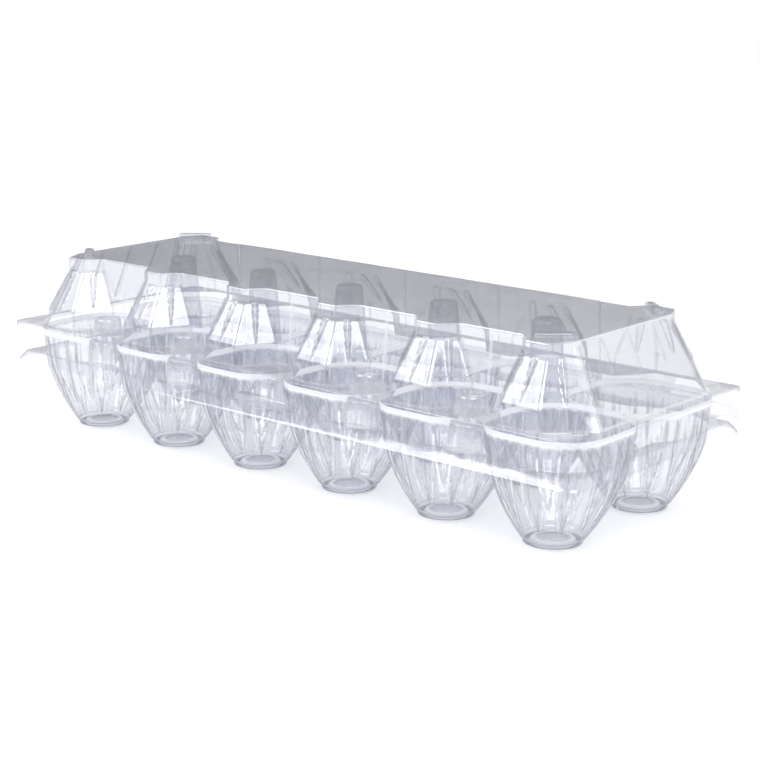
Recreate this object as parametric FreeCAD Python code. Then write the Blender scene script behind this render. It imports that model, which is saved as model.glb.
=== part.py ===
"""Clear clamshell egg carton: a tray of 2 x 6 egg cups and a hinged lid, formed from thin plastic sheet.

Units are millimetres. +Z is up, +X runs along the six cells and -Y is the front.
The origin is on the floor, under the middle of the tray's footprint.
The carton is modelled closed. The lid turns about the crease half way up the hinge web at the back.
"""
import FreeCAD, Part
import math
import os

from FreeCAD import Vector

# ---- driving dimensions ----
COLUMNS = 6
PITCH = 49.0                    # from one cup to the next along the carton
FOOT_Y = 27.5                   # foot centres, in front of and behind the middle
WALL = 0.8                      # wall of every formed member
GAP = 0.25                      # half the slit between neighbouring formed cells

FOOT_R = 10.8                   # foot ring
FOOT_DISH_R = 7.6               # dished middle of the foot
FOOT_DISH_H = 1.6
CUP_TOP_Z = 43.6
CUP_TOP_Y = 24.9                # the cup mouths sit a little nearer the middle than the feet
CUP_HALF_X = PITCH / 2 - GAP
CUP_HALF_Y = CUP_TOP_Y - 0.35
CUP_MOUTH_R = 18.0              # corner radius of a cup's mouth
# height and half width of the cup's outside, from the foot to the mouth
CUP_PROFILE = ((0.0, FOOT_R), (2.2, 11.2), (3.0, 12.2), (7.6, 15.4), (13.0, 18.8),
               (18.5, 21.5), (25.0, 23.6))
CUP_SHOULDER_Z = 30.0
CUP_SHOULDER_R = 21.0

POST_BASE_Z = 26.0
POST_BASE_R = 8.6
POST_TOP_Z = 73.6
POST_TOP_R = 5.4

TRAY_RIM_Z = 29.5               # bottom edge of the flared rim
TRAY_RIM_TOP_Z = 33.0
TRAY_RIM_X = 151.0
TRAY_RIM_Y = 54.1
RIM_FLARE = 3.2                 # how far the rim's skirt spreads below its deck
RIM_SLOPE_WALL = 1.1            # the flared rim's wall, measured level
RIM_CORNER_R = 3.0

CREASE_Z = 38.7                 # the living hinge's crease
CREASE_GAP = 0.3                # each half of the web stops this far from the crease
WEB_Y = 54.1                    # outer face of the hinge web
WEB_LOWER_X = (149.0, 147.4)    # half length of the lower web at its foot and at the crease
WEB_UPPER_X = (118.0, 121.0)    # half length of the upper web at the crease and at the flange
LID_FLANGE_X = 149.5
LID_FLANGE_Y = 54.0
LID_LIP_Z = 44.2
LID_FLANGE_Z = 46.4             # top of the lid's flange
CREASE_BAND_Z = 54.0            # crease between a hood's slope and its upright band
COLLAR_Z = 69.5                 # where the hood's slope meets its upright collar
LID_TOP_Z = 75.0
END_ZONE_X = 140.0              # rims are split into sides here
END_PANEL_X = 146.4             # foot of the end panel
END_PANEL_SLAB = 0.9            # the end panel's wall, measured level

# plan of one hood's outer half: distance along the carton from its middle, and outward from the middle line
HOOD_TOP = ((10.6, 33.2), (5.2, 39.4), (1.8, 40.4))
HOOD_CREASE = ((17.6, 34.8), (8.2, 49.0), (2.8, 49.3))
HOOD_FOOT = ((18.2, 35.2), (8.8, 49.7), (3.0, 50.0))
STRAIGHT_TOP = ((10.6, 34.6), (5.2, 34.7), (1.8, 34.8))
END_TOP = (9.3, 31.0)           # the end hood's last corner, at the end panel
END_CREASE = (19.6, 33.9)
END_FOOT = (23.9, 35.1)

LUG_LENGTH = 15.0               # stacking lugs on the top plate's corners
LUG_WIDTH = 3.4
LUG_HEIGHT = 1.6
LUG_PLACE = (124.0, 31.0)
LUG_TURN = 40.0

BUTTON_COLUMNS = (-2, -1, 1, 2)  # lock buttons stand between cells, this many pitches from the middle
TRAY_BUTTON_R = 7.0
TRAY_BUTTON_Y = 46.0
TRAY_BUTTON_Z = (34.0, 44.0)
LID_BUTTON_R = 6.6
LID_BUTTON_Y = 43.8
LID_BUTTON_TOP_Z = 53.4
LID_BUTTON_TAPER = 1.6
LID_BUTTON_ROUND = 1.2
BUTTON_CLEARANCE = 0.2

CATCH_WIDTH = 27.0              # raised catch tab at the middle of the tray's front rim
CATCH_HEIGHT = 3.9


def column_x(index):
    """Middle of a column of cells, counted from 0 at the left end."""
    return (index - (COLUMNS - 1) / 2) * PITCH


def rounded_rect(half_x, half_y, radius, z, cx=0.0, cy=0.0):
    """Closed wire: a level rectangle with round corners."""
    edges = []
    corners = ((1, 1, 0), (-1, 1, 90), (-1, -1, 180), (1, -1, 270))
    starts = []
    for sx, sy, turn in corners:
        centre = Vector(cx + sx * (half_x - radius), cy + sy * (half_y - radius), z)
        points = []
        for step in (0, 45, 90):
            angle = math.radians(turn + step)
            points.append(centre + Vector(radius * math.cos(angle), radius * math.sin(angle), 0))
        starts.append(points)
    for index, points in enumerate(starts):
        edges.append(Part.Arc(*points).toShape())
        following = starts[(index + 1) % 4]
        edges.append(Part.LineSegment(points[2], following[0]).toShape())
    return Part.Wire(edges)


def loft(wires):
    """Closed solid with straight walls from one wire to the next."""
    return Part.makeLoft(wires, True, True)


def polygon(points, z):
    """Closed level wire through plan points."""
    corners = [Vector(x, y, z) for x, y in points]
    return Part.makePolygon(corners + corners[:1])


def prism(points, z, height):
    return Part.Face(polygon(points, z)).extrude(Vector(0, 0, height))


def inset(points, distance):
    """An open plan line moved to its left by a distance, with mitred corners."""
    moved = []
    for index, (x, y) in enumerate(points):
        before = points[max(index - 1, 0)]
        after = points[min(index + 1, len(points) - 1)]
        normals = []
        for start, end in ((before, (x, y)), ((x, y), after)):
            length = math.hypot(end[0] - start[0], end[1] - start[1])
            if length > 0:
                normals.append(((start[1] - end[1]) / length, (end[0] - start[0]) / length))
        nx = sum(normal[0] for normal in normals) / len(normals)
        ny = sum(normal[1] for normal in normals) / len(normals)
        scale = distance / (nx * nx + ny * ny)
        moved.append((x + nx * scale, y + ny * scale))
    return moved


def strip(points, z, thickness=WALL):
    """Closed level wire round a thin wall whose outer line is given from left to right."""
    return polygon(list(points) + inset(points, thickness)[::-1], z)


def box(x0, x1, y0, y1, z0, z1):
    return Part.makeBox(x1 - x0, y1 - y0, z1 - z0, Vector(x0, y0, z0))


def mirrored_back(shape):
    """The same shape behind the middle line."""
    return shape.mirror(Vector(0, 0, 0), Vector(0, 1, 0))


def cup(column, side):
    """One egg cup: a dished foot, a bowl that widens, and an upright mouth with round corners."""
    cx = column_x(column)
    outer = []
    inner = []
    for z, half in CUP_PROFILE:
        cy = side * (FOOT_Y + (CUP_TOP_Y - FOOT_Y) * z / CUP_SHOULDER_Z)
        outer.append(rounded_rect(half, half, half - 0.2, z, cx, cy))
        hollow = half - WALL
        inner.append(rounded_rect(hollow, hollow, hollow - 0.2, max(z, WALL), cx, cy))
    for z, radius in ((CUP_SHOULDER_Z, CUP_SHOULDER_R), (CUP_TOP_Z, CUP_MOUTH_R)):
        cy = side * CUP_TOP_Y
        outer.append(rounded_rect(CUP_HALF_X, CUP_HALF_Y, radius, z, cx, cy))
        inner.append(rounded_rect(CUP_HALF_X - WALL, CUP_HALF_Y - WALL, radius - WALL, z, cx, cy))
    foot = Vector(cx, side * FOOT_Y, 0)
    dish = Part.makeCylinder(FOOT_DISH_R + WALL, FOOT_DISH_H + WALL, foot)
    recess = Part.makeCylinder(FOOT_DISH_R, FOOT_DISH_H, foot)
    return loft(outer).cut(loft(inner)).fuse(dish).cut(recess).removeSplitter()


def centre_post(index):
    """Hollow tapered post with a closed flat top, standing where four cups meet."""
    foot = Vector((index - (COLUMNS - 2) / 2) * PITCH, 0, POST_BASE_Z)
    height = POST_TOP_Z - POST_BASE_Z
    outer = Part.makeCone(POST_BASE_R, POST_TOP_R, height, foot)
    inner = Part.makeCone(POST_BASE_R - WALL, POST_TOP_R - WALL, height - WALL, foot)
    return outer.cut(inner)


def ring(x, y, radius, z0, z1, wall, growth=0.0):
    """Rectangular ring with round corners: its top may be wider than its bottom by a growth."""
    outer = loft([rounded_rect(x, y, radius, z0), rounded_rect(x + growth, y + growth, radius, z1)])
    inner_radius = max(radius - wall, 0.5)
    inner = loft([rounded_rect(x - wall, y - wall, inner_radius, z0),
                  rounded_rect(x + growth - wall, y + growth - wall, inner_radius, z1)])
    return outer.cut(inner)


def side_of(shape, name):
    """The front, back, left or right part of a ring."""
    far = 200.0
    zones = {
        "front": box(-END_ZONE_X, END_ZONE_X, -far, 0, 0, far),
        "back": box(-END_ZONE_X, END_ZONE_X, 0, far, 0, far),
        "left": box(-far, -END_ZONE_X, -far, far, 0, far),
        "right": box(END_ZONE_X, far, -far, far, 0, far),
    }
    return shape.common(zones[name])


def tray_rims():
    """Level deck round the cups with a flared skirt on three sides; the back one carries the hinge web."""
    skirt = ring(TRAY_RIM_X, TRAY_RIM_Y, RIM_CORNER_R, TRAY_RIM_Z, TRAY_RIM_TOP_Z - WALL,
                 RIM_SLOPE_WALL, -RIM_FLARE)
    deck = prism_rounded(TRAY_RIM_X - RIM_FLARE, TRAY_RIM_Y - RIM_FLARE, RIM_CORNER_R,
                         TRAY_RIM_TOP_Z - WALL, WALL)
    back_cut = box(-200, 200, CUP_TOP_Y + CUP_HALF_Y + 0.05, 200, 0, TRAY_RIM_TOP_Z - WALL)
    back_deck = box(-TRAY_RIM_X + RIM_FLARE, TRAY_RIM_X - RIM_FLARE, TRAY_RIM_Y - RIM_FLARE - 1, WEB_Y,
                    TRAY_RIM_TOP_Z - WALL, TRAY_RIM_TOP_Z)
    whole = skirt.cut(back_cut).fuse(deck).fuse(back_deck)
    middle = box(-column_x(COLUMNS - 1), column_x(COLUMNS - 1), -CUP_TOP_Y, CUP_TOP_Y, 0, 100)
    whole = whole.cut(middle)
    for column in range(COLUMNS):
        for side in (-1, 1):
            cell = [rounded_rect(CUP_HALF_X, CUP_HALF_Y, radius, z, column_x(column), side * CUP_TOP_Y)
                    for z, radius in ((CUP_SHOULDER_Z, CUP_SHOULDER_R), (CUP_TOP_Z, CUP_MOUTH_R))]
            whole = whole.cut(loft(cell))
    rims = {}
    for side in ("front", "back", "left", "right"):
        solids = side_of(whole, side).Solids
        if side in ("front", "back"):
            solids = [solid for solid in solids if abs(solid.CenterOfMass.y) > FOOT_Y]
        rims["tray_rim_" + side] = Part.makeCompound(solids)
    return rims


def catch_tab():
    """Raised tab on the middle of the front rim."""
    half = CATCH_WIDTH / 2
    face_y = RIM_FLARE - TRAY_RIM_Y
    back_y = -(CUP_TOP_Y + CUP_HALF_Y) - 0.1
    block = box(-half, half, face_y, back_y, TRAY_RIM_TOP_Z, TRAY_RIM_TOP_Z + CATCH_HEIGHT)
    return block


def web(z0, z1, half_lengths):
    """Half of the hinge web: an upright plate whose ends taper."""
    low, high = half_lengths
    corners = [Vector(-low, WEB_Y - WALL, z0), Vector(low, WEB_Y - WALL, z0),
               Vector(high, WEB_Y - WALL, z1), Vector(-high, WEB_Y - WALL, z1)]
    return Part.Face(Part.makePolygon(corners + corners[:1])).extrude(Vector(0, WALL, 0))


def hood_line(corners, column, ends):
    """Plan of a front hood's outer line from left to right, with the end hoods closed off by a corner."""
    right = [(x, -y) for x, y in corners]
    left = [(-x, y) for x, y in right]
    edge = PITCH / 2 - GAP
    line_y = -corners[0][1]
    points = [(-edge, line_y)] + left + right[::-1] + [(edge, line_y)]
    if column == COLUMNS - 1:
        points = points[:-2] + [(ends[0], -ends[1])]
    if column == 0:
        points = [(-ends[0], -ends[1])] + points[2:]
    cx = column_x(column)
    return [(cx + x, y) for x, y in points]


def hood(column, straight_top=False):
    """One hooded cell cover: an upright band, faceted slopes and an upright collar."""
    top_corners = STRAIGHT_TOP if straight_top else HOOD_TOP
    foot = hood_line(HOOD_FOOT, column, END_FOOT)
    crease = hood_line(HOOD_CREASE, column, END_CREASE)
    top = hood_line(top_corners, column, END_TOP)
    plate_z = LID_TOP_Z - WALL
    return loft([strip(foot, LID_FLANGE_Z), strip(crease, CREASE_BAND_Z), strip(top, COLLAR_Z),
                 strip(top, plate_z)])


def joined_line(corners, ends, straight=()):
    """Plan of the whole front line of hoods, from the left end to the right end."""
    points = []
    for column in range(COLUMNS):
        shape = STRAIGHT_TOP if column in straight else corners
        points += hood_line(shape, column, ends)
    return points


def lid_top():
    """Flat top plate with a scalloped outline."""
    front = joined_line(HOOD_TOP, END_TOP)
    back = [(x, -y) for x, y in joined_line(HOOD_TOP, END_TOP, range(1, COLUMNS - 1))]
    return prism(front + back[::-1], LID_TOP_Z - WALL, WALL)


def end_panel(side):
    """Flat panel that slopes from the top plate to the lid's flange at one end."""
    crease_x = column_x(COLUMNS - 1) + END_CREASE[0] + 0.7
    sections = ((LID_FLANGE_Z, END_PANEL_X, END_FOOT[1] - 0.3),
                (CREASE_BAND_Z, crease_x, END_CREASE[1] - 0.4),
                (LID_TOP_Z - WALL, column_x(COLUMNS - 1) + END_TOP[0], END_TOP[1] - 0.4))
    wires = []
    for z, x, half in sections:
        inner = x - END_PANEL_SLAB
        wires.append(polygon([(side * x, -half), (side * x, half), (side * inner, half),
                              (side * inner, -half)], z))
    return loft(wires)


def lid_flanges():
    """Out-turned flange round the hoods, with a short lip; the back one carries the hinge web."""
    hoods = joined_line(HOOD_FOOT, END_FOOT)
    opening = [(x, y + WALL) for x, y in hoods]
    inside = prism(opening + [(x, -y) for x, y in opening[::-1]], LID_FLANGE_Z - WALL, WALL)
    plate = prism_rounded(LID_FLANGE_X, LID_FLANGE_Y, RIM_CORNER_R, LID_FLANGE_Z - WALL, WALL)
    lip = ring(LID_FLANGE_X, LID_FLANGE_Y, RIM_CORNER_R, LID_LIP_Z, LID_FLANGE_Z - WALL, WALL)
    whole = plate.cut(inside).fuse(lip).removeSplitter()
    behind = box(-200, 200, WEB_Y, 200, 0, 100)
    under_back = box(-200, 200, LID_FLANGE_Y - RIM_CORNER_R, 200, 0, LID_FLANGE_Z - WALL)
    flanges = {}
    for side in ("front", "back", "left", "right"):
        flanges["lid_flange_" + side] = side_of(whole, side).cut(behind).cut(under_back)
    return flanges


def prism_rounded(half_x, half_y, radius, z, height):
    return Part.Face(rounded_rect(half_x, half_y, radius, z)).extrude(Vector(0, 0, height))


def stacking_lug(sx, sy):
    """Short bar with round ends, set across a corner of the top plate."""
    bar = prism_rounded(LUG_LENGTH / 2, LUG_WIDTH / 2, LUG_WIDTH / 2 - 0.05, 0, LUG_HEIGHT)
    rims = [edge for edge in bar.Edges if abs(edge.CenterOfMass.z - LUG_HEIGHT) < 0.01]
    bar = bar.makeFillet(0.7, rims)
    bar.rotate(Vector(0, 0, 0), Vector(0, 0, 1), -sx * sy * LUG_TURN)
    bar.translate(Vector(sx * LUG_PLACE[0], sy * LUG_PLACE[1], LID_TOP_Z))
    return bar


def tray_button(column):
    """Round lock button that fills the notch between two cups at the tray's front."""
    z0, z1 = TRAY_BUTTON_Z
    height = z1 - z0
    button = Part.makeCylinder(TRAY_BUTTON_R, height, Vector(column * PITCH, -TRAY_BUTTON_Y, z0))
    button = button.makeFillet(1.5, [edge for edge in button.Edges if edge.CenterOfMass.z > z1 - 0.01])
    cup_edge = CUP_TOP_Y + CUP_HALF_Y - CUP_MOUTH_R
    for side in (-1, 1):
        corner_x = column * PITCH + side * (PITCH / 2 - CUP_HALF_X + CUP_MOUTH_R)
        corner = Vector(corner_x, -cup_edge, z0 - 1)
        button = button.cut(Part.makeCylinder(CUP_SHOULDER_R, height + 2, shoulder_centre(column, side)))
        button = button.cut(Part.makeCylinder(CUP_MOUTH_R + BUTTON_CLEARANCE, height + 2, corner))
    return button.common(box(-200, 200, -100, -cup_edge - CUP_MOUTH_R / 2, 0, 100))


def shoulder_centre(column, side):
    """Axis of the round corner of a cup's shoulder, which is wider than the corner of its mouth."""
    x = column * PITCH + side * (PITCH / 2 - CUP_HALF_X + CUP_SHOULDER_R + BUTTON_CLEARANCE)
    y = -(CUP_TOP_Y + CUP_HALF_Y - CUP_SHOULDER_R)
    return Vector(x, y, TRAY_BUTTON_Z[0] - 1)


def lid_button(column):
    """Hollow round button on the lid's flange, over the tray's button."""
    foot = Vector(column * PITCH, -LID_BUTTON_Y, LID_FLANGE_Z)
    height = LID_BUTTON_TOP_Z - LID_FLANGE_Z
    top_r = LID_BUTTON_R - LID_BUTTON_TAPER
    outer = Part.makeCone(LID_BUTTON_R, top_r, height, foot)
    rims = [edge for edge in outer.Edges if edge.CenterOfMass.z > LID_BUTTON_TOP_Z - 0.01]
    outer = outer.makeFillet(LID_BUTTON_ROUND, rims)
    inner = Part.makeCone(LID_BUTTON_R - WALL, top_r - WALL, height - WALL, foot)
    return outer.cut(inner)


def build():
    """Every node of the carton by name."""
    nodes = {}
    for column in range(COLUMNS):
        nodes["cup_front_%d" % (column + 1)] = cup(column, -1)
        nodes["cup_back_%d" % (column + 1)] = cup(column, 1)
    for index in range(COLUMNS - 1):
        nodes["centre_post_%d" % (index + 1)] = centre_post(index)
    nodes.update(tray_rims())
    nodes["catch_tab"] = catch_tab()
    nodes["hinge_web_lower"] = web(TRAY_RIM_TOP_Z, CREASE_Z - CREASE_GAP, WEB_LOWER_X)

    nodes["lid_top"] = lid_top()
    for column in range(COLUMNS):
        nodes["hood_front_%d" % (column + 1)] = hood(column)
        inner_column = 0 < column < COLUMNS - 1
        nodes["hood_back_%d" % (column + 1)] = mirrored_back(hood(column, inner_column))
    nodes["end_panel_left"] = end_panel(-1)
    nodes["end_panel_right"] = end_panel(1)
    nodes.update(lid_flanges())
    nodes["hinge_web_upper"] = web(CREASE_Z + CREASE_GAP, LID_FLANGE_Z - WALL, WEB_UPPER_X)
    for number, (sx, sy) in enumerate(((-1, -1), (1, -1), (-1, 1), (1, 1)), start=1):
        nodes["stacking_lug_%d" % number] = stacking_lug(sx, sy)
    for number, column in enumerate(BUTTON_COLUMNS, start=1):
        nodes["lock_button_%d" % number] = tray_button(column)
        nodes["lid_button_%d" % number] = lid_button(column)
    return nodes


def main():
    os.makedirs("parts", exist_ok=True)
    for name, shape in build().items():
        print(name, len(shape.Solids), "valid" if shape.isValid() else "INVALID", round(shape.Volume, 1))
        shape.exportStep("parts/" + name + ".step")


main()
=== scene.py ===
"""Clear clamshell egg carton: the thin clear sheet, its ribs, flutes and rims, built round the carton's frame.

Shapes are worked out in millimetres and each finished mesh is stored in metres.
"""
import bmesh
import bpy
import math

from bpy.props import FloatProperty, FloatVectorProperty, IntProperty, PointerProperty
from mathutils import Matrix, Vector


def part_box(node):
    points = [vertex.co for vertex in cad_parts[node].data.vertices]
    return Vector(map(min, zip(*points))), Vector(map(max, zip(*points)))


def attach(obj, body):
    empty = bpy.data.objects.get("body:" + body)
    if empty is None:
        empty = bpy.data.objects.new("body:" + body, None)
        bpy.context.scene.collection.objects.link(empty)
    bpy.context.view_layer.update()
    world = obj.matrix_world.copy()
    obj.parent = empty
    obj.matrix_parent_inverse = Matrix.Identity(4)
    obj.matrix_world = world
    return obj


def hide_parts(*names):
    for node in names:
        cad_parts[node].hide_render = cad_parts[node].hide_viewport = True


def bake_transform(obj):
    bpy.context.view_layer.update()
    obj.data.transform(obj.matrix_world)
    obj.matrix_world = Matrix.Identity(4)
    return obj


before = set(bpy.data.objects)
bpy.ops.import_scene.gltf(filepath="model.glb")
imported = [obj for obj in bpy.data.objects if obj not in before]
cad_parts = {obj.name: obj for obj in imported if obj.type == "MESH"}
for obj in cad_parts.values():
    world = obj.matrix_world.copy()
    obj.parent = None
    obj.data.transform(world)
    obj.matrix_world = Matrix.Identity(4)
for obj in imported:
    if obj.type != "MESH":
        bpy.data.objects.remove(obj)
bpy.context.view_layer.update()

bl_info = {
    "name": "Clear Egg Carton",
    "version": (1, 0, 0),
    "blender": (4, 5, 0),
    "location": "View3D > Sidebar > Egg Carton",
    "description": "Builds a clear twelve-cell egg carton with a hinged lid",
    "category": "Object",
}

MM = 0.001


# ---- places taken from the frame, in millimetres ----

def box_mm(node):
    low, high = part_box(node)
    return low / MM, high / MM


COLUMNS = sum(1 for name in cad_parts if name.startswith("cup_front_"))
CUP_LOW, CUP_HIGH = box_mm("cup_front_%d" % COLUMNS)
CUP_HALF_X = (CUP_HIGH.x - CUP_LOW.x) / 2
CUP_HALF_Y = (CUP_HIGH.y - CUP_LOW.y) / 2
CUP_ROW_Y = -(CUP_LOW.y + CUP_HIGH.y) / 2
CUP_TOP_Z = CUP_HIGH.z
LAST_X = (CUP_LOW.x + CUP_HIGH.x) / 2
PITCH = 2 * LAST_X / (COLUMNS - 1)
RIM_LOW, RIM_HIGH = box_mm("tray_rim_right")
FLANGE_LOW, FLANGE_HIGH = box_mm("lid_flange_right")
LID_TOP_Z = box_mm("lid_top")[1].z
PANEL_HIGH = box_mm("end_panel_right")[1]
SIDE_SPLIT_X = RIM_LOW.x
WEB_Y = box_mm("hinge_web_lower")[1].y
BUTTONS = sum(1 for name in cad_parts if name.startswith("lock_button_"))
POSTS = sum(1 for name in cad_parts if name.startswith("centre_post_"))

# ---- the carton's own proportions, in millimetres ----
FOOT_SHIFT = 2.6                # feet stand further out than the mouths
FOOT_STEP_Z = 3.0               # top of the foot ring
FOOT_STEP_R = 12.2
SHOULDER_Z = 30.0
SHOULDER_R = 21.0
MOUTH_R = 18.0
FOOT_ROWS = ((0.0, 1.7), (4.0, 1.7), (7.1, 1.65), (7.9, 1.2), (8.5, 0.35), (9.1, 0.02), (9.9, 0.0), (10.5, 0.1),
             (10.8, 0.5), (10.95, 1.2), (11.1, 2.0), (11.45, 2.6))
HOOD_COLLAR_Z = 69.5            # slope meets the upright collar
HOOD_CREASE_Z = 54.0            # slope meets the upright band
# plan of a hood's right half: distance from the cell's middle, and from the carton's middle line
HOOD_TOP = ((10.5, 33.2), (4.9, 40.1))
HOOD_CREASE = ((17.6, 34.8), (8.2, 49.2))
HOOD_FOOT = ((18.2, 35.2), (8.8, 49.9))
STRAIGHT_TOP = ((10.5, 34.5), (4.9, 34.7))
END_TOP = (9.3, 31.0)           # last corner of an end hood, where the end panel starts
END_CREASE = (19.6, 33.9)
END_FOOT = (23.9, 35.1)
RIM_TOP_Z = 33.0                # deck of the tray's rim
RIM_FLARE = 3.2
LUG_SIZE = (15.0, 4.2, 2.2)
LUG_TURN = 40.0
SHARP_ANGLE = math.radians(38)
FILL_LIGHT = (1.2, 1.2, 1.21, 1)
SHADOW_RELIEF = 0.75            # part of a wall's surface share that casts no shade
RIM_CORNER_R = 4.0
FLANGE_CORNER_R = 3.0
ROLL = 1.3                      # reach of the rounded edge between a hood and the top plate


def cell_x(column):
    return (column - (COLUMNS - 1) / 2) * PITCH


# ---- sizes and finishes that a user would change ----

class CartonSizes(bpy.types.PropertyGroup):
    """Thickness, flutes and ribs of the formed sheet"""
    sheet: FloatProperty(name="Sheet", description="Thickness of the formed sheet, mm", default=0.34, min=0.1)
    flutes: IntProperty(name="Flutes", description="Flutes round each cup", default=12, min=3)
    flute_depth: FloatProperty(name="Flute depth", description="How far a flute is pressed in, mm", default=1.2)
    rib_height: FloatProperty(name="Rib height", description="How far a hood's rib stands out, mm", default=1.15)
    rib_width: FloatProperty(name="Rib width", description="Half width of a hood's rib, mm", default=1.35)
    panel_rib: FloatProperty(name="Panel rib", description="Depth of the end panel's grooves, mm", default=0.7)
    corner: FloatProperty(name="Corner", description="Reach of the rounded creases, mm", default=0.9)


class CartonFinish(bpy.types.PropertyGroup):
    """Look of the clear sheet"""
    tint: FloatVectorProperty(name="Tint", description="Colour left after one wall", subtype="COLOR", size=3,
                              default=(0.962, 0.965, 0.976))
    gloss: FloatProperty(name="Gloss", description="Roughness of a clean wall", default=0.07, subtype="FACTOR")
    index: FloatProperty(name="Index", description="Refractive index of the sheet", default=1.6)
    wave: FloatProperty(name="Wave", description="Strength of the sheet's slow waves", default=0.35)


class CartonStudio(bpy.types.PropertyGroup):
    """Camera, lights and floor"""
    lens: FloatProperty(name="Lens", description="Focal length, mm", default=84.69)
    key_power: FloatProperty(name="Left softbox", description="Power", default=4.2, unit="POWER")
    side_power: FloatProperty(name="Right softbox", description="Power", default=3.2, unit="POWER")
    floor: FloatVectorProperty(name="Floor", description="Colour of the floor", subtype="COLOR", size=3,
                               default=(0.86, 0.86, 0.86))


SETTINGS = {"carton_sizes": CartonSizes, "carton_finish": CartonFinish, "carton_studio": CartonStudio}


def sizes():
    return bpy.context.scene.carton_sizes


# ---- materials ----

class Wire:
    """A shader socket that can be used in plain arithmetic."""

    def __init__(self, shop, socket):
        self.shop = shop
        self.socket = socket

    def maths(self, operation, first, second):
        return self.shop.node("ShaderNodeMath", {"operation": operation}, (first, second))

    def __add__(self, other):
        return self.maths("ADD", self, other)

    def __radd__(self, other):
        return self.maths("ADD", other, self)

    def __sub__(self, other):
        return self.maths("SUBTRACT", self, other)

    def __rsub__(self, other):
        return self.maths("SUBTRACT", other, self)

    def __mul__(self, other):
        return self.maths("MULTIPLY", self, other)

    def __rmul__(self, other):
        return self.maths("MULTIPLY", other, self)


class Shop:
    """Makes nodes in one node tree."""

    def __init__(self, tree):
        self.tree = tree
        tree.nodes.clear()

    def node(self, kind, settings=None, values=(), output=0):
        """Adds a node: settings first, then the values or links of its sockets by number or name."""
        made = self.tree.nodes.new(kind)
        for name, value in (settings or {}).items():
            setattr(made, name, value)
        pairs = values.items() if isinstance(values, dict) else enumerate(values)
        for key, value in pairs:
            if isinstance(value, Wire):
                self.tree.links.new(value.socket, made.inputs[key])
            else:
                made.inputs[key].default_value = value
        return Wire(self, made.outputs[output])

    def finish(self, kind, surface):
        """Ends the tree with its output node."""
        output = self.tree.nodes.new(kind)
        self.tree.links.new(surface.socket, output.inputs["Surface"])

    def soft_step(self, value, low, high, low_result=0.0, high_result=1.0):
        settings = {"interpolation_type": "SMOOTHSTEP"}
        return self.node("ShaderNodeMapRange", settings,
                         {"Value": value, "From Min": low, "From Max": high,
                          "To Min": low_result, "To Max": high_result})


def clear_plastic(name, haze=0.02, milk=0.0, wave=1.0, painted_crease_strength=0.3):
    """Clear formed sheet: see-through, with a gloss that grows at a glancing angle, a haze of fine wear, painted
    highlights along convex creases and painted shade in concave creases.
    """
    finish = bpy.context.scene.carton_finish
    material = bpy.data.materials.new(name)
    material.use_nodes = True
    shop = Shop(material.node_tree)
    place = shop.node("ShaderNodeTexCoord", output="Object")
    slow = shop.node("ShaderNodeTexNoise", None, {"Vector": place, "Scale": 55.0, "Detail": 1.0})
    fine = shop.node("ShaderNodeTexNoise", None, {"Vector": place, "Scale": 420.0, "Detail": 3.0})
    broad = shop.node("ShaderNodeTexNoise", None, {"Vector": place, "Scale": 14.0, "Detail": 2.0})
    height = slow + fine * 0.02
    bump = shop.node("ShaderNodeBump", None,
                     {"Strength": 1.0, "Distance": finish.wave * wave * 0.0006, "Height": height})
    wear = shop.soft_step(fine, 0.35, 0.75) * 0.5 + shop.soft_step(broad, 0.3, 0.7) * 0.5
    cloud = haze * (0.55 + wear * 0.9)
    glance = shop.node("ShaderNodeLayerWeight", None, {"Blend": 0.5, "Normal": bump}, output="Facing")
    head_on = ((finish.index - 1) / (finish.index + 1)) ** 2
    edge = glance.maths("POWER", glance, 5.0) * (1 - head_on) + head_on
    bend = shop.node("ShaderNodeNewGeometry", output="Pointiness")
    # Painted highlight: convex creases get a whiter, more solid surface, standing in for light caught along the
    # bends.
    painted_ridge_highlight = shop.soft_step(bend, 0.508, 0.532)
    # Painted shade: concave creases get a dark grey colour and more surface share.
    painted_valley_shade = shop.soft_step(bend, 0.468, 0.492, 1.0, 0.0)
    # The surface share includes the painted crease highlights and the painted crease shade.
    full = shop.node("ShaderNodeMath", {"operation": "ADD", "use_clamp": True},
                     (edge, cloud + painted_ridge_highlight * painted_crease_strength + painted_valley_shade * (painted_crease_strength * 0.8)))
    shadow = shop.node("ShaderNodeLightPath", output="Is Shadow Ray")
    bounced = shop.node("ShaderNodeLightPath", output="Is Diffuse Ray")
    share = full * (1.0 - (shadow + bounced) * SHADOW_RELIEF)
    rough = finish.gloss + wear * 0.05 + milk * 0.25
    colours = {"data_type": "RGBA"}
    clean = shop.node("ShaderNodeMix", colours,
                      {"Factor": wear, "A": (0.93, 0.935, 0.95, 1), "B": (0.98, 0.98, 0.985, 1)},
                      output="Result")
    # Base colour: the wear tone, darkened to grey in concave creases as painted shade.
    shade = shop.node("ShaderNodeMix", colours,
                      {"Factor": painted_valley_shade, "A": clean, "B": (0.32, 0.32, 0.36, 1)}, output="Result")
    # Painted highlight: less metal on convex creases lets the near-white base colour show as bright lines.
    ridge_highlight_share = 0.85 * min(1.0, 2 * painted_crease_strength)
    mirror = (1.0 - milk) * (1.0 - painted_ridge_highlight * ridge_highlight_share)
    shine = shop.node("ShaderNodeBsdfPrincipled", None,
                      {"Base Color": shade, "Metallic": mirror, "Roughness": rough, "Normal": bump})
    through = shop.node("ShaderNodeBsdfTransparent", None, {"Color": (*finish.tint, 1)})
    both = shop.node("ShaderNodeMixShader", None, (share, through, shine))
    shop.finish("ShaderNodeOutputMaterial", both)
    return material


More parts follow.
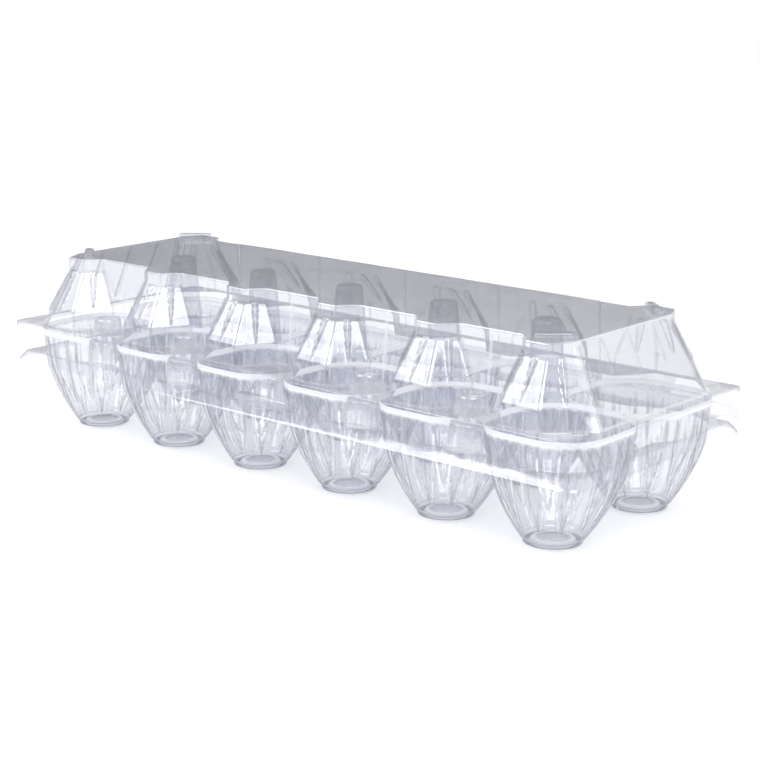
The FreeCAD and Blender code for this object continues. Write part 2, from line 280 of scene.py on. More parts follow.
def finish_named(name):
    """A material by name, made the first time that it is asked for."""
    # The crease strengths set how strong the painted highlights and painted shade along creases are.
    recipes = {
        "clear_cup_wall": dict(haze=0.02, painted_crease_strength=0.6),
        "clear_lid_wall": dict(haze=0.015, painted_crease_strength=0.22),
        "clear_flat_top": dict(haze=0.12, wave=0.5, painted_crease_strength=0.0),
        "clear_end_panel": dict(haze=0.06, milk=0.06, wave=1.2, painted_crease_strength=0.3),
        "pressed_rim": dict(haze=0.03, milk=0.06, painted_crease_strength=0.08),
        "frosted_button": dict(haze=0.08, milk=0.3, painted_crease_strength=0.12),
        "clear_post": dict(haze=0.02),
    }
    return bpy.data.materials.get(name) or clear_plastic(name, **recipes[name])


# ---- mesh helpers ----

def soften(points, reach, arc_steps=3, run_steps=1, crowd=1.0):
    """A plan or profile line with each corner rounded and each straight run divided, closer at its middle."""
    points = [Vector(point) for point in points]
    line = []
    for index, point in enumerate(points):
        if index in (0, len(points) - 1):
            entry = leave = point
            line.append(point)
        else:
            before, after = points[index - 1], points[index + 1]
            back = min(reach, 0.45 * (before - point).length)
            ahead = min(reach, 0.45 * (after - point).length)
            entry = point + (before - point).normalized() * back
            leave = point + (after - point).normalized() * ahead
            for step in range(arc_steps + 1):
                t = step / arc_steps
                line.append(entry * (1 - t) ** 2 + point * 2 * t * (1 - t) + leave * t * t)
        if index < len(points) - 1:
            ahead_point = points[index + 1]
            if index + 1 < len(points) - 1:
                cut = min(reach, 0.45 * (point - ahead_point).length)
                ahead_point = ahead_point + (point - ahead_point).normalized() * cut
            for step in range(1, run_steps):
                swing = 2 * step / run_steps - 1
                line.append(leave.lerp(ahead_point, 0.5 + 0.5 * math.copysign(abs(swing) ** crowd, swing)))
    return line


def sheet_mesh(columns, rows, place):
    """A grid of the sheet, with the column and row of each point: place gives where it lies."""
    mesh = bmesh.new()
    bmesh.ops.create_grid(mesh, x_segments=columns, y_segments=rows, size=0.5)
    spots = {}
    for vert in mesh.verts:
        spot = (round((vert.co.x + 0.5) * columns), round((vert.co.y + 0.5) * rows))
        spots[vert] = spot
        vert.co = place(*spot)
    mesh.normal_update()
    return mesh, spots


def face_out(mesh, inside=Vector((0, 0, 40))):
    """Turns the whole sheet so that its faces look away from a point inside the carton."""
    mesh.normal_update()
    lean = sum(face.normal.dot(face.calc_center_median() - inside) * face.calc_area() for face in mesh.faces)
    if lean < 0:
        bmesh.ops.reverse_faces(mesh, faces=mesh.faces)


def press(mesh, spots, relief):
    """Moves each point of an outward sheet along its normal by the relief at its column and row."""
    mesh.normal_update()
    moves = [(vert, vert.normal * relief(*spot)) for vert, spot in spots.items() if vert.is_valid]
    for vert, move in moves:
        vert.co += move


def close_seams(mesh, distance=0.002):
    bmesh.ops.remove_doubles(mesh, verts=mesh.verts, dist=distance)
    bmesh.ops.dissolve_degenerate(mesh, dist=distance / 4, edges=mesh.edges)


def make_piece(name, mesh, body, material, wall, replaced=None):
    """Gives a sheet in millimetres its wall and makes it a finished piece that rides on its body."""
    bmesh.ops.solidify(mesh, geom=mesh.faces[:], thickness=wall)
    bmesh.ops.scale(mesh, vec=(MM, MM, MM), verts=mesh.verts)
    data = bpy.data.meshes.new(name)
    mesh.to_mesh(data)
    mesh.free()
    for polygon in data.polygons:
        polygon.use_smooth = True
    data.set_sharp_from_angle(angle=SHARP_ANGLE)
    piece = bpy.data.objects.new(name, data)
    bpy.context.collection.objects.link(piece)
    data.materials.append(finish_named(material))
    if body:
        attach(piece, body)
    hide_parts(replaced or name)
    return piece


def corner_distance(angle, half_x, half_y, radius):
    """Distance from the middle of a rectangle with round corners to its edge."""
    c, s = abs(math.cos(angle)), abs(math.sin(angle))
    inner_x, inner_y = half_x - radius, half_y - radius
    if c > 1e-9 and half_x / c * s <= inner_y:
        return half_x / c
    if s > 1e-9 and half_y / s * c <= inner_x:
        return half_y / s
    along = c * inner_x + s * inner_y
    return along + math.sqrt(along * along - inner_x ** 2 - inner_y ** 2 + radius ** 2)


# ---- cups ----

CUP_ANGLES = 144
BOWL_ROWS = 30


def cup_rows():
    """Radius, height and the roundness of each ring of a cup, from the middle of the foot to the mouth."""
    rows = [(radius, z, None) for radius, z in FOOT_ROWS]
    for step in range(BOWL_ROWS + 1):
        z = FOOT_STEP_Z + (SHOULDER_Z - FOOT_STEP_Z) * step / BOWL_ROWS
        rows.append((None, z, None))
    for step in range(1, 8):
        z = SHOULDER_Z + (CUP_TOP_Z - SHOULDER_Z) * step / 7
        rows.append((None, z, SHOULDER_R + (MOUTH_R - SHOULDER_R) * step / 7))
    return rows


def cup_outline(angle, z, corner):
    """Distance from a cup's axis to its wall at a height."""
    if corner is not None:
        return corner_distance(angle, CUP_HALF_X, CUP_HALF_Y, corner)
    rise = (z - FOOT_STEP_Z) / (SHOULDER_Z - FOOT_STEP_Z)
    swell = math.sin(math.pi / 2 * rise)
    half = FOOT_STEP_R + (CUP_HALF_X - FOOT_STEP_R) * swell
    square = max(0.0, (rise - 0.6) / 0.4)
    corner_r = half - 0.05 - square * (CUP_HALF_X - SHOULDER_R)
    return corner_distance(angle, half, half + (CUP_HALF_Y - CUP_HALF_X) * square, corner_r)


def flute(angle, z):
    """How far the wall is pressed in: flat-sided flutes that start as points above the foot."""
    count = sizes().flutes
    turn = (angle / (2 * math.pi) * count) % 1.0
    from_middle = abs(turn - 0.5) * 2
    grow = min(1.0, max(0.0, (z - 5.5) / 14.0))
    fade = min(1.0, max(0.0, (CUP_TOP_Z - 1.0 - z) / 8.0))
    half_width = 0.06 + 0.50 * grow ** 0.8
    groove = max(0.0, 1.0 - from_middle / half_width)
    return -sizes().flute_depth * min(1.0, 0.35 + grow) * min(1.0, grow * 8) * fade * min(1.0, groove * 2.4)


def cup(column, side):
    name = "cup_%s_%d" % ("front" if side < 0 else "back", column + 1)
    rows = cup_rows()

    def place(step, row):
        radius, z, corner = rows[row]
        angle = 2 * math.pi * step / CUP_ANGLES
        reach = radius if radius is not None else cup_outline(angle, z, corner) + flute(angle, z)
        shift = FOOT_SHIFT * max(0.0, 1 - z / SHOULDER_Z)
        y = CUP_ROW_Y + shift + reach * math.sin(angle)
        return Vector((cell_x(column) + reach * math.cos(angle), side * y, z))

    mesh, _ = sheet_mesh(CUP_ANGLES, len(rows) - 1, place)
    close_seams(mesh)
    face_out(mesh, Vector((cell_x(column), side * CUP_ROW_Y, 30)))
    make_piece(name, mesh, "tray", "clear_cup_wall", sizes().sheet)


# ---- posts and round buttons ----

def turned(profile, centre, steps=48, squeeze=None):
    """A round shell spun from a profile of radius and height about an upright axis."""
    mesh = bmesh.new()
    line = [mesh.verts.new((radius, 0, z)) for radius, z in profile]
    edges = [mesh.edges.new(pair) for pair in zip(line, line[1:])]
    bmesh.ops.spin(mesh, geom=line + edges, cent=(0, 0, 0), axis=(0, 0, 1), angle=2 * math.pi, steps=steps,
                   use_merge=True)
    if squeeze:
        for vert in mesh.verts:
            reach = Vector((vert.co.x, vert.co.y)).length
            if reach > 0:
                scale = min(reach, squeeze(math.atan2(vert.co.y, vert.co.x))) / reach
                vert.co.x *= scale
                vert.co.y *= scale
    close_seams(mesh, 0.0005)
    bmesh.ops.translate(mesh, vec=centre, verts=mesh.verts)
    face_out(mesh, Vector(centre) + Vector((0, 0, (profile[0][1] + profile[-1][1]) / 2)))
    return mesh


def centre_post(index):
    low, high = box_mm("centre_post_%d" % (index + 1))
    foot_r = (high.x - low.x) / 2
    top_r = foot_r - 3.2
    slope = soften([(foot_r, low.z, 0), (top_r, high.z, 0), (0, high.z, 0)], 1.6, 5, 6)
    profile = [(point.x, point.y) for point in slope]
    centre = ((low.x + high.x) / 2, 0, 0)
    make_piece("centre_post_%d" % (index + 1), turned(profile, centre), "tray", "clear_post", sizes().sheet)


def tray_button(number):
    """Hollow drum pressed up between two cups, flattened where the cups' walls come close."""
    low, high = box_mm("lock_button_%d" % number)
    middle = (low.x + high.x) / 2
    radius = (high.x - low.x) / 2
    axis_y = low.y + radius
    bore = Vector((PITCH / 2 - CUP_HALF_X + MOUTH_R, -(CUP_ROW_Y + CUP_HALF_Y - MOUTH_R) - axis_y))

    def squeeze(angle):
        way = Vector((abs(math.cos(angle)), math.sin(angle)))
        along = way.dot(bore)
        inside = along * along - bore.length_squared + (MOUTH_R + 0.6) ** 2
        return along - math.sqrt(inside) if inside > 0 and along > 0 else radius

    line = soften([(radius, low.z, 0), (radius - 0.5, high.z, 0), (radius - 3.0, high.z, 0),
                   (radius - 3.6, high.z - 0.7, 0), (0, high.z - 0.7, 0)], 1.2, 4, 3)
    mesh = turned([(point.x, point.y) for point in line], (middle, axis_y, 0), 48, squeeze)
    make_piece("lock_button_%d" % number, mesh, "tray", "frosted_button", sizes().sheet)


def lid_button(number):
    low, high = box_mm("lid_button_%d" % number)
    radius = (high.x - low.x) / 2
    centre = ((low.x + high.x) / 2, (low.y + high.y) / 2, 0)
    line = soften([(radius, low.z, 0), (radius - 1.4, high.z, 0), (radius - 3.4, high.z, 0),
                   (radius - 3.9, high.z - 0.8, 0), (0, high.z - 0.8, 0)], 1.1, 4, 3)
    mesh = turned([(point.x, point.y) for point in line], centre)
    make_piece("lid_button_%d" % number, mesh, "lid", "frosted_button", sizes().sheet)


# ---- hoods and top ----

RUN_STEPS = 26
ARC_STEPS = 3


def hood_plan(corners, column, ends):
    """A front hood's plan line from left to right."""
    right = [(x, -y) for x, y in corners]
    left = [(-x, y) for x, y in right]
    edge = PITCH / 2
    points = [(-edge, right[0][1])] + left + right[::-1] + [(edge, right[0][1])]
    if column == COLUMNS - 1:
        points[-2:] = [(ends[0], -ends[1])]
    if column == 0:
        points[:2] = [(-ends[0], -ends[1])]
    return [Vector((cell_x(column) + x, y, 0)) for x, y in points]


def rib_shape(across, along):
    """Height of a hood rib: a long drop with a pointed lower end."""
    half = sizes().rib_width * min(1.0, max(0.0, along) ** 0.55 * 1.05)
    if half <= 0 or abs(across) >= half:
        return 0.0
    return sizes().rib_height * min(1.0, along * 6) * math.cos(math.pi / 2 * across / half) ** 0.6


def hood(column, side):
    name = "hood_%s_%d" % ("front" if side < 0 else "back", column + 1)
    straight = side > 0 and 0 < column < COLUMNS - 1
    top_corners = STRAIGHT_TOP if straight else HOOD_TOP
    plans = [(hood_plan(HOOD_FOOT, column, END_FOOT), FLANGE_HIGH.z),
             (hood_plan(HOOD_CREASE, column, END_CREASE), HOOD_CREASE_Z),
             (hood_plan(top_corners, column, END_TOP), HOOD_COLLAR_Z),
             (hood_plan(top_corners, column, END_TOP), LID_TOP_Z)]
    lines = []
    for points, z in plans:
        lines.append([point + Vector((0, 0, z)) for point in soften(points, 1.0, ARC_STEPS, RUN_STEPS, 1.6)])
    rolled = [point + Vector((0, ROLL, 0)) for point in lines[-1]]
    lines.append(rolled)
    across = len(lines[0]) - 1
    stacks = [soften([line[step] for line in lines], sizes().corner, 3, 16) for step in range(across + 1)]
    rows = len(stacks[0]) - 1
    stride = RUN_STEPS + ARC_STEPS
    slope = (HOOD_CREASE_Z + 1.0, HOOD_COLLAR_Z - 0.2)

    def place(step, row):
        point = stacks[step][row]
        return Vector((point.x, side * -point.y, point.z))

    def relief(step, row):
        run, within = divmod(step, stride)
        facet = run + 1 if column == 0 else run
        if facet not in (1, 2, 3) or within > RUN_STEPS:
            return 0.0
        point = stacks[step][row]
        low_z = slope[0] + (0.8 if facet == 2 else 0.2)
        along = (point.z - low_z) / (slope[1] - low_z)
        if not 0 < along < 1:
            return 0.0
        first, last = stacks[run * stride][row], stacks[run * stride + RUN_STEPS][row]
        middle = (first + last) / 2
        across_mm = (point - middle).dot((last - first).normalized())
        return rib_shape(across_mm, along)

    mesh, spots = sheet_mesh(across, rows, place)
    face_out(mesh, Vector((cell_x(column), side * 10, 55)))
    press(mesh, spots, relief)
    close_seams(mesh)
    make_piece(name, mesh, "lid", "clear_lid_wall", sizes().sheet)


def lid_top():
    """Flat plate inside the rolled edge of the hoods."""
    outline = []
    for side in (-1, 1):
        row = []
        for column in range(COLUMNS):
            straight = side > 0 and 0 < column < COLUMNS - 1
            plan = hood_plan(STRAIGHT_TOP if straight else HOOD_TOP, column, END_TOP)
            inner = [point for point in soften(plan, ROLL, ARC_STEPS)
                     if abs(point.x - cell_x(column)) < PITCH / 2 - 0.01]
            row += [Vector((point.x, side * (-point.y - ROLL), LID_TOP_Z)) for point in inner]
        outline += row if side < 0 else row[::-1]
    mesh = bmesh.new()
    corners = []
    for point in outline:
        if not corners or (corners[-1].co - point).length > 0.05:
            corners.append(mesh.verts.new(point))
    mesh.faces.new(corners)
    bmesh.ops.triangulate(mesh, faces=mesh.faces)
    face_out(mesh)
    make_piece("lid_top", mesh, "lid", "clear_flat_top", sizes().sheet)


def end_panel(side):
    """Sloping end panel with three pressed grooves and a doubled edge."""
    name = "end_panel_" + ("right" if side > 0 else "left")
    columns, rows = 120, 40
    top_x = LAST_X + END_TOP[0]
    stations = soften([(PANEL_HIGH.x, END_FOOT[1] - 0.1, FLANGE_HIGH.z), (top_x, END_TOP[1] - 0.1, LID_TOP_Z)],
                      0.9, 4, rows)
    grooves = ((-16.0, 60.5, 1.0), (0.0, 48.5, 1.1), (16.0, 60.5, 1.0))

    def place(step, row):
        station = stations[row]
        return Vector((side * station.x, (2 * step / columns - 1) * station.y, station.z))

    def relief(step, row):
        station = stations[row]
        y = (2 * step / columns - 1) * station.y
        depth = 0.0
        if station.z > LID_TOP_Z - 1.2:
            return 0.0
        for middle, foot_z, half in grooves:
            reach = min(1.0, max(0.0, (station.z - foot_z) / 2.0))
            depth = max(depth, reach * max(0.0, 1 - abs(y - middle) / half))
        edge_gap = station.y - abs(y)
        for offset in (1.3, 3.6):
            depth = max(depth, 0.8 * max(0.0, 1 - abs(edge_gap - offset) / 0.8))
        return sizes().panel_rib * depth

    mesh, spots = sheet_mesh(columns, len(stations) - 1, place)
    face_out(mesh)
    press(mesh, spots, relief)
    make_piece(name, mesh, "lid", "clear_end_panel", sizes().sheet)


def stacking_lug(number):
    """Puffed bar with round ends across a corner of the top."""
    low, high = box_mm("stacking_lug_%d" % number)
    middle = (low + high) / 2
    length, width, height = LUG_SIZE
    mesh = bmesh.new()
    bmesh.ops.create_cube(mesh, size=1.0)
    bmesh.ops.scale(mesh, vec=(length, width, height), verts=mesh.verts)
    uprights = [edge for edge in mesh.edges if abs(edge.verts[0].co.z - edge.verts[1].co.z) > 0.1]
    bmesh.ops.bevel(mesh, geom=uprights, offset=width * 0.46, affect="EDGES", segments=6, profile=0.5,
                    material=-1)
    rim = [edge for edge in mesh.edges if all(vert.co.z > 0 for vert in edge.verts)]
    bmesh.ops.bevel(mesh, geom=rim, offset=0.75, affect="EDGES", segments=4, profile=0.5, material=-1)
    floor = [face for face in mesh.faces if face.normal.z < -0.9]
    bmesh.ops.delete(mesh, geom=floor, context="FACES")
    turn = math.radians(-LUG_TURN if middle.x * middle.y > 0 else LUG_TURN)
    bmesh.ops.rotate(mesh, matrix=Matrix.Rotation(turn, 3, "Z"), verts=mesh.verts)
    bmesh.ops.translate(mesh, vec=(middle.x, middle.y, LID_TOP_Z + height / 2), verts=mesh.verts)
    face_out(mesh, Vector((middle.x, middle.y, LID_TOP_Z)))
    make_piece("stacking_lug_%d" % number, mesh, "lid", "pressed_rim", sizes().sheet)


# ---- rims, flanges, hinge ----

def rect_point(half_x, half_y, radius, share, side):
    """Point of a rounded rectangle's edge and its outward direction, along one side."""
    if side in ("front", "back"):
        sign = -1 if side == "front" else 1
        x = -SIDE_SPLIT_X + 2 * SIDE_SPLIT_X * share
        return Vector((x, sign * half_y, 0)), Vector((0, sign, 0))
    sign = 1 if side == "right" else -1
    straight_x = half_x - radius - SIDE_SPLIT_X
    straight_y = 2 * (half_y - radius)
    arc = math.pi / 2 * radius
    total = 2 * straight_x + 2 * arc + straight_y
    gone = share * total
    if gone <= straight_x:
        point, way = Vector((SIDE_SPLIT_X + gone, -half_y, 0)), Vector((0, -1, 0))
    elif gone <= straight_x + arc:
        angle = -math.pi / 2 + (gone - straight_x) / radius
        way = Vector((math.cos(angle), math.sin(angle), 0))
        point = Vector((half_x - radius, radius - half_y, 0)) + way * radius
    elif gone <= straight_x + arc + straight_y:
        point, way = Vector((half_x, radius - half_y + gone - straight_x - arc, 0)), Vector((1, 0, 0))
    elif gone <= straight_x + 2 * arc + straight_y:
        angle = (gone - straight_x - arc - straight_y) / radius
        way = Vector((math.cos(angle), math.sin(angle), 0))
        point = Vector((half_x - radius, half_y - radius, 0)) + way * radius
    else:
        point, way = Vector((SIDE_SPLIT_X + total - gone, half_y, 0)), Vector((0, 1, 0))
    return Vector((sign * point.x, point.y, 0)), Vector((sign * way.x, way.y, 0))


def cup_edge_towards(point):
    """Nearest cup's wall at the deck, on the line from that cup's middle to a point."""
    column = min(range(COLUMNS), key=lambda index: abs(cell_x(index) - point.x))
    middle = Vector((cell_x(column), math.copysign(CUP_ROW_Y, point.y), 0))
    way = point - middle
    corner = SHOULDER_R + (MOUTH_R - SHOULDER_R) * (RIM_TOP_Z - SHOULDER_Z) / (CUP_TOP_Z - SHOULDER_Z)
    reach = corner_distance(math.atan2(way.y, way.x), CUP_HALF_X, CUP_HALF_Y, corner)
    return middle + way.normalized() * (reach + 0.05)


def tray_rim(side):
    """Deck round the cups and the flared skirt that hangs from it."""
    half_x, half_y = RIM_HIGH.x - RIM_FLARE, RIM_HIGH.y - RIM_FLARE
    columns = 240 if side in ("front", "back") else 120

    def section(step):
        point, way = rect_point(half_x, half_y, RIM_CORNER_R, step / columns, side)
        inner = cup_edge_towards(point)
        if side == "back":
            outer = [Vector((point.x, WEB_Y - 0.6, RIM_TOP_Z)), Vector((point.x, WEB_Y - 0.3, RIM_TOP_Z))]
        else:
            outer = [point + way * RIM_FLARE * 0.86 + Vector((0, 0, RIM_LOW.z + 0.75)),
                     point + way * RIM_FLARE + Vector((0, 0, RIM_LOW.z))]
        line = [inner + Vector((0, 0, RIM_TOP_Z)), point + Vector((0, 0, RIM_TOP_Z))] + outer
        return soften(line, 0.8, 4, 3)

    sections = [section(step) for step in range(columns + 1)]
    mesh, _ = sheet_mesh(columns, len(sections[0]) - 1, lambda step, row: sections[step][row])
    face_out(mesh, Vector((0, 0, -400)))
    close_seams(mesh)
    make_piece("tray_rim_" + side, mesh, "tray", "pressed_rim", sizes().sheet)


def hood_foot_line():
    """Plan of all the front hoods' feet from left to right."""
    points = []
    for column in range(COLUMNS):
        plan = hood_plan(HOOD_FOOT, column, END_FOOT)
        points += [Vector((p.x, p.y, 0)) for p in soften(plan, ROLL, ARC_STEPS, 4)]
    return points


def lid_flange(side):
    """Level flange from the hoods' feet to a short lip."""
    half_x, half_y = FLANGE_HIGH.x, FLANGE_HIGH.y
    top, lip = FLANGE_HIGH.z, FLANGE_LOW.z
    foot = hood_foot_line()
    if side in ("front", "back"):
        sign = -1 if side == "front" else 1
        inner = [point for point in foot if abs(point.x) <= SIDE_SPLIT_X]
        inner = [Vector((-SIDE_SPLIT_X, inner[0].y, 0))] + inner + [Vector((SIDE_SPLIT_X, inner[-1].y, 0))]
        pairs = [(Vector((p.x, -sign * p.y, 0)), Vector((p.x, sign * half_y, 0)), Vector((0, sign, 0)))
                 for p in inner]
    else:
        pairs = []
        steps = 80
        panel_x, panel_y = PANEL_HIGH.x, END_FOOT[1]
        for step in range(steps + 1):
            point, way = rect_point(half_x, half_y, FLANGE_CORNER_R, step / steps, side)
            sign = 1 if side == "right" else -1
            if abs(point.y) <= panel_y:
                near = Vector((sign * panel_x, point.y, 0))
            else:
                share = min(1.0, (abs(point.x) - SIDE_SPLIT_X) / (panel_x - SIDE_SPLIT_X))
                corner_y = panel_y + (1 - share) * 9.0
                near = Vector((sign * (SIDE_SPLIT_X + share * (panel_x - SIDE_SPLIT_X)),
                               math.copysign(corner_y, point.y), 0))
            pairs.append((near, point, way))
    up = Vector((0, 0, 1))
    sections = []
    for near, outer, way in pairs:
        if side == "back":
            line = [near + up * top, outer - way * 1.2 + up * top, outer - way * 0.4 + up * top]
        else:
            line = [near + up * top, outer + up * top, outer + up * lip]
        sections.append(soften(line, 0.6, 4, 3))
    mesh, _ = sheet_mesh(len(sections) - 1, len(sections[0]) - 1, lambda step, row: sections[step][row])
    close_seams(mesh)
    face_out(mesh, Vector((0, 0, -400)))
    make_piece("lid_flange_" + side, mesh, "lid", "pressed_rim", sizes().sheet)


def catch_tab():
    low, high = box_mm("catch_tab")
    middle = (low + high) / 2
    mesh = bmesh.new()
    bmesh.ops.create_cube(mesh, size=1.0)
    bmesh.ops.scale(mesh, vec=(high.x - low.x, 3.4, high.z - low.z), verts=mesh.verts)
    soft = [edge for edge in mesh.edges if any(vert.co.y < 0 for vert in edge.verts) and
            not all(vert.co.z < 0 for vert in edge.verts)]
    bmesh.ops.bevel(mesh, geom=soft, offset=0.8, affect="EDGES", segments=3, profile=0.5, material=-1)
    bmesh.ops.delete(mesh, geom=[face for face in mesh.faces if face.normal.z < -0.9], context="FACES")
    bmesh.ops.translate(mesh, vec=(middle.x, low.y + 1.7 - 0.6, middle.z), verts=mesh.verts)
    face_out(mesh, Vector((middle.x, middle.y, middle.z)))
    make_piece("catch_tab", mesh, "tray", "pressed_rim", sizes().sheet)


def hinge_web(half):
    """Half of the hinge web, an upright strip with tapered ends and fine lines pressed along it."""
    low, high = box_mm("hinge_web_" + half)
    foot_half = (high.x - low.x) / 2
    top_half = foot_half - 1.6 if half == "lower" else foot_half
    if half == "upper":
        foot_half -= 3.0

    def place(step, row):
        share = row / 8
        width = foot_half + (top_half - foot_half) * share
        z = low.z + (high.z - low.z) * share
        return Vector(((2 * step / 60 - 1) * width, high.y - 0.12 * (row % 2), z))

    mesh, _ = sheet_mesh(60, 8, place)
    face_out(mesh)
    body = "tray" if half == "lower" else "lid"
    make_piece("hinge_web_" + half, mesh, body, "pressed_rim", sizes().sheet)


def hinge_crease():
    """Thin bending line between the two halves of the web."""
    low_z = box_mm("hinge_web_lower")[1].z
    high_z = box_mm("hinge_web_upper")[0].z
    half = (box_mm("hinge_web_upper")[1].x - box_mm("hinge_web_upper")[0].x) / 2 - 3.0
    mesh, _ = sheet_mesh(60, 4, lambda step, row: Vector(
        ((2 * step / 60 - 1) * half, WEB_Y, low_z + (high_z - low_z) * row / 4)))
    face_out(mesh)
    piece = make_piece("hinge_crease", mesh, None, "pressed_rim", sizes().sheet * 0.5, "hinge_web_upper")
    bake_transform(piece)


# ---- stage ----

def softbox(name, azimuth, elevation, width, height, power):
    """Large soft light that faces the carton."""
    a, e = math.radians(azimuth), math.radians(elevation)
    way = Vector((math.cos(e) * math.cos(a), math.cos(e) * math.sin(a), math.sin(e)))
    light = bpy.data.lights.new(name, "AREA")
    light.shape = "RECTANGLE"
    light.size, light.size_y = width, height
    light.energy = power
    lamp = bpy.data.objects.new(name, light)
    lamp.location = Vector((0, 0, 0.04)) + way * 1.2
    lamp.rotation_euler = (-way).to_track_quat("-Z", "Y").to_euler()
    bpy.context.collection.objects.link(lamp)


def studio_world():
    """White seen directly, and soft greys in reflections: darker low behind the carton, lighter overhead."""
    world = bpy.data.worlds.new("studio")
    bpy.context.scene.world = world
    world.use_nodes = True
    shop = Shop(world.node_tree)
    way = shop.node("ShaderNodeTexCoord", output="Generated")
    up = shop.node("ShaderNodeSeparateXYZ", None, (way,), output="Z")
    back = shop.node("ShaderNodeSeparateXYZ", None, (way,), output="Y")
    lift = shop.soft_step(up, 0.0, 0.6, 0.20, 0.72)
    behind = shop.soft_step(back, 0.1, 0.8, 0.0, 0.06)
    level = lift - behind
    tone = shop.node("ShaderNodeCombineColor", None, (level * 0.96, level * 0.97, level * 1.05))
    mirrored = shop.node("ShaderNodeLightPath", output="Is Glossy Ray")
    direct = shop.node("ShaderNodeLightPath", output="Is Camera Ray")
    colours = {"data_type": "RGBA"}
    fill = shop.node("ShaderNodeMix", colours, {"Factor": mirrored, "A": FILL_LIGHT, "B": tone},
                     output="Result")
    mixed = shop.node("ShaderNodeMix", colours, {"Factor": direct, "A": fill, "B": (1, 1, 1, 1)},
                      output="Result")
    glow = shop.node("ShaderNodeBackground", None, (mixed, 1.0))
    shop.finish("ShaderNodeOutputWorld", glow)


def floor_sheet():
    studio = bpy.context.scene.carton_studio
    mesh = bmesh.new()
    bmesh.ops.create_grid(mesh, x_segments=8, y_segments=8, size=3.0)
    data = bpy.data.meshes.new("floor")
    mesh.to_mesh(data)
    mesh.free()
    floor = bpy.data.objects.new("floor", data)
    bpy.context.collection.objects.link(floor)
    material = bpy.data.materials.new("pale_floor")
    material.use_nodes = True
    shop = Shop(material.node_tree)
    place = shop.node("ShaderNodeTexCoord", output="Object")
    grain = shop.node("ShaderNodeTexNoise", None, {"Vector": place, "Scale": 9.0, "Detail": 2.0})
    colour = tuple(studio.floor)
    shade = shop.node("ShaderNodeMix", {"data_type": "RGBA"},
                      {"Factor": grain, "A": (*colour, 1), "B": (*[c * 0.985 for c in colour], 1)},
                      output="Result")
    # Painted reflection shade: in reflections the floor is painted grey, so the carton's walls reflect a darker
    # floor; seen directly it keeps its own pale colour.
    mirrored = shop.node("ShaderNodeLightPath", output="Is Glossy Ray")
    floor_tone_and_painted_reflection_grey = shop.node("ShaderNodeMix", {"data_type": "RGBA"},
                     {"Factor": mirrored, "A": shade, "B": (0.50, 0.50, 0.53, 1)}, output="Result")
    surface = shop.node("ShaderNodeBsdfPrincipled", None, {"Base Color": floor_tone_and_painted_reflection_grey, "Roughness": 0.9})
    shop.finish("ShaderNodeOutputMaterial", surface)
    data.materials.append(material)


def camera():
    data = bpy.data.cameras.new("camera")
    data.lens = bpy.context.scene.carton_studio.lens
    data.sensor_width = 36.0
    eye = bpy.data.objects.new("camera", data)
    eye.location = (0.47598, -0.52045, 0.20900)
    eye.rotation_euler = (math.radians(76.07), 0, math.radians(41.45))
    bpy.context.collection.objects.link(eye)
    bpy.context.scene.camera = eye


# ---- operators ----

class BuildStep(bpy.types.Operator):
    """One step of the carton"""
    bl_idname = "egg_carton.step"
    bl_label = "Step"

    def build(self):
        raise RuntimeError("a step has to build something")

    def execute(self, context):
        self.build()
        return {"FINISHED"}


class BuildCups(BuildStep):
    """Twelve fluted egg cups"""
    bl_idname = "egg_carton.cups"
    bl_label = "Egg cups"

    def build(self):
        for column in range(COLUMNS):
            for side in (-1, 1):
                cup(column, side)


class BuildPosts(BuildStep):
    """Hollow posts between the cups"""
    bl_idname = "egg_carton.posts"
    bl_label = "Centre posts"

    def build(self):
        for index in range(POSTS):
            centre_post(index)


class BuildTrayRims(BuildStep):
    """Deck and flared skirt round the tray"""
    bl_idname = "egg_carton.tray_rims"
    bl_label = "Tray rims"

    def build(self):
        for side in ("front", "back", "left", "right"):
            tray_rim(side)


class BuildLocks(BuildStep):
    """Lock buttons of the tray and the lid, and the catch tab"""
    bl_idname = "egg_carton.locks"
    bl_label = "Locks"

    def build(self):
        for number in range(1, BUTTONS + 1):
            tray_button(number)
            lid_button(number)
        catch_tab()


class BuildHoods(BuildStep):
    """Ribbed hoods over the cups"""
    bl_idname = "egg_carton.hoods"
    bl_label = "Hoods"

    def build(self):
        for column in range(COLUMNS):
            for side in (-1, 1):
                hood(column, side)


class BuildLidTop(BuildStep):
    """Flat top plate and its stacking lugs"""
    bl_idname = "egg_carton.lid_top"
    bl_label = "Lid top"

    def build(self):
        lid_top()
        for number in range(1, 5):
            stacking_lug(number)


class BuildEndPanels(BuildStep):
    """Sloping end panels"""
    bl_idname = "egg_carton.end_panels"
    bl_label = "End panels"

    def build(self):
        for side in (-1, 1):
            end_panel(side)


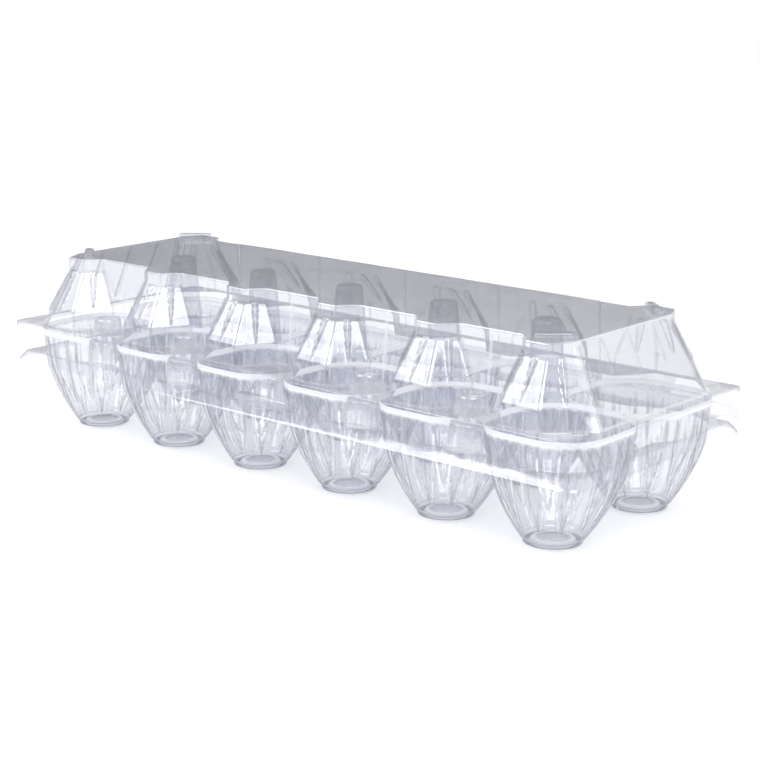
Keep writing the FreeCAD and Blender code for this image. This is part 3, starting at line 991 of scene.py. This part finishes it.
class BuildFlanges(BuildStep):
    """Flange and lip round the lid"""
    bl_idname = "egg_carton.flanges"
    bl_label = "Lid flanges"

    def build(self):
        for side in ("front", "back", "left", "right"):
            lid_flange(side)


class BuildHinge(BuildStep):
    """Living hinge at the back"""
    bl_idname = "egg_carton.hinge"
    bl_label = "Hinge web"

    def build(self):
        hinge_web("lower")
        hinge_web("upper")
        hinge_crease()


class BuildStage(BuildStep):
    """Floor, lights and camera"""
    bl_idname = "egg_carton.stage"
    bl_label = "Stage"

    def build(self):
        studio = bpy.context.scene.carton_studio
        floor_sheet()
        studio_world()
        softbox("left_softbox", -126.0, 40.0, 0.71, 0.64, studio.key_power)
        softbox("right_softbox", -36.5, 42.5, 0.57, 0.53, studio.side_power)
        camera()
        scene = bpy.context.scene
        scene.view_settings.view_transform = "Standard"
        scene.cycles.transparent_max_bounces = 64
        scene.cycles.caustics_reflective = False


STEPS = (BuildCups, BuildPosts, BuildTrayRims, BuildLocks, BuildHoods, BuildLidTop, BuildEndPanels, BuildFlanges,
         BuildHinge, BuildStage)


class CartonPanel(bpy.types.Panel):
    """Lists the steps and sizes of the carton"""
    bl_idname = "VIEW3D_PT_egg_carton"
    bl_label = "Egg Carton"
    bl_space_type = "VIEW_3D"
    bl_region_type = "UI"
    bl_category = "Egg Carton"

    def draw(self, context):
        for group, kind in SETTINGS.items():
            held = getattr(context.scene, group)
            for name in kind.__annotations__:
                self.layout.prop(held, name)
        for step in STEPS:
            self.layout.operator(step.bl_idname)


CLASSES = (*SETTINGS.values(), *STEPS, CartonPanel)


def register():
    for kind in CLASSES:
        bpy.utils.register_class(kind)
    for name, kind in SETTINGS.items():
        setattr(bpy.types.Scene, name, PointerProperty(type=kind))


def unregister():
    for name in SETTINGS:
        delattr(bpy.types.Scene, name)
    for kind in reversed(CLASSES):
        bpy.utils.unregister_class(kind)


def main():
    register()
    for step in STEPS:
        group, name = step.bl_idname.split(".")
        getattr(getattr(bpy.ops, group), name)()


if __name__ == "__main__":
    main()
